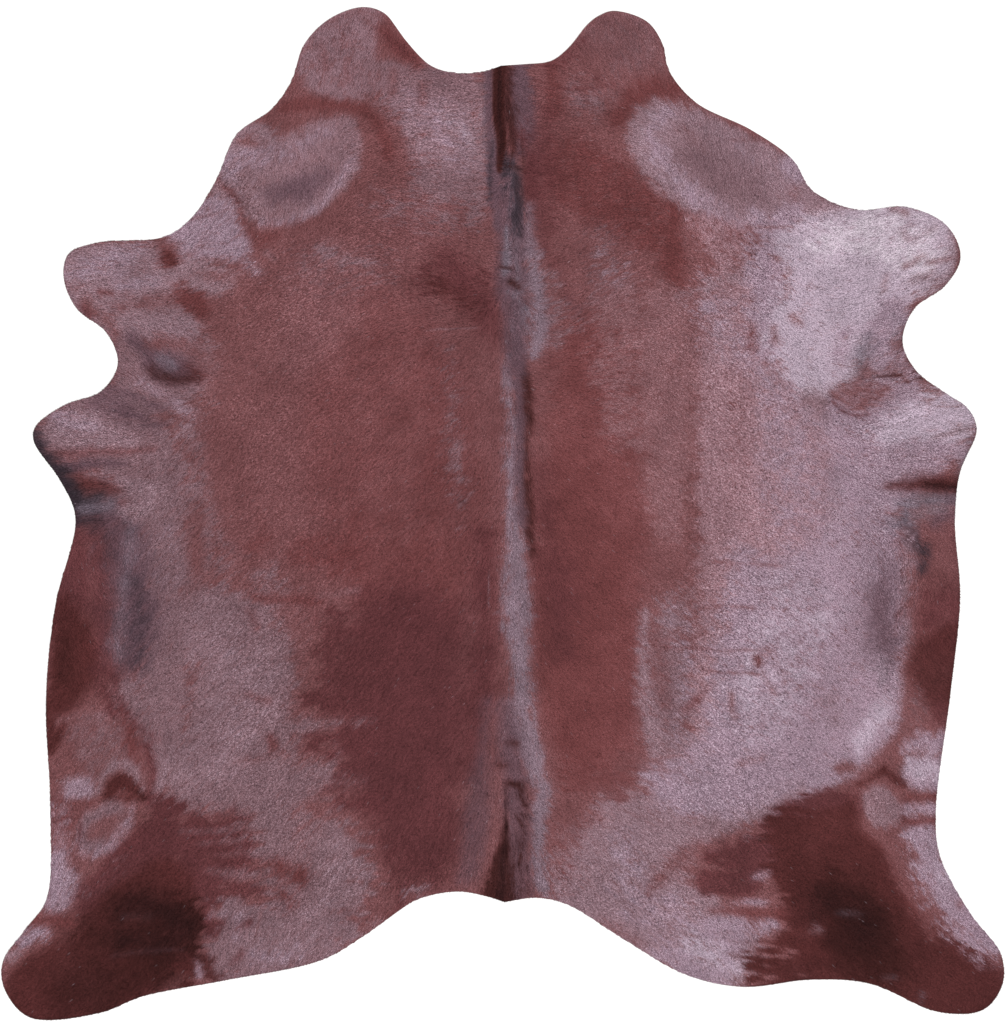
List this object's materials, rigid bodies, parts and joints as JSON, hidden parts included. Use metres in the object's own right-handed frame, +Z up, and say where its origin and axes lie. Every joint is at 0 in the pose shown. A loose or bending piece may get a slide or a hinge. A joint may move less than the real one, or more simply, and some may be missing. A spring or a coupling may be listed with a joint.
{
  "type": "cowhide rug",
  "caption": "Flat hair-on cowhide rug in the outline of a whole hide, with neck lobes, leg lobes, hollow flanks and a notched rump.",
  "frame": {"origin": "on the floor, under the middle of the hide's outline", "axes": "+X to the right with the hide seen from above, +Y towards the neck, +Z up"},
  "size_m": [2.1062, 2.128, 0.0093],
  "materials": {
    "coat": "short reddish brown coat, brushed lilac where it lies against the light"
  },
  "bodies": {
    "root": {"hide": "coat"}
  },
  "joints": []
}
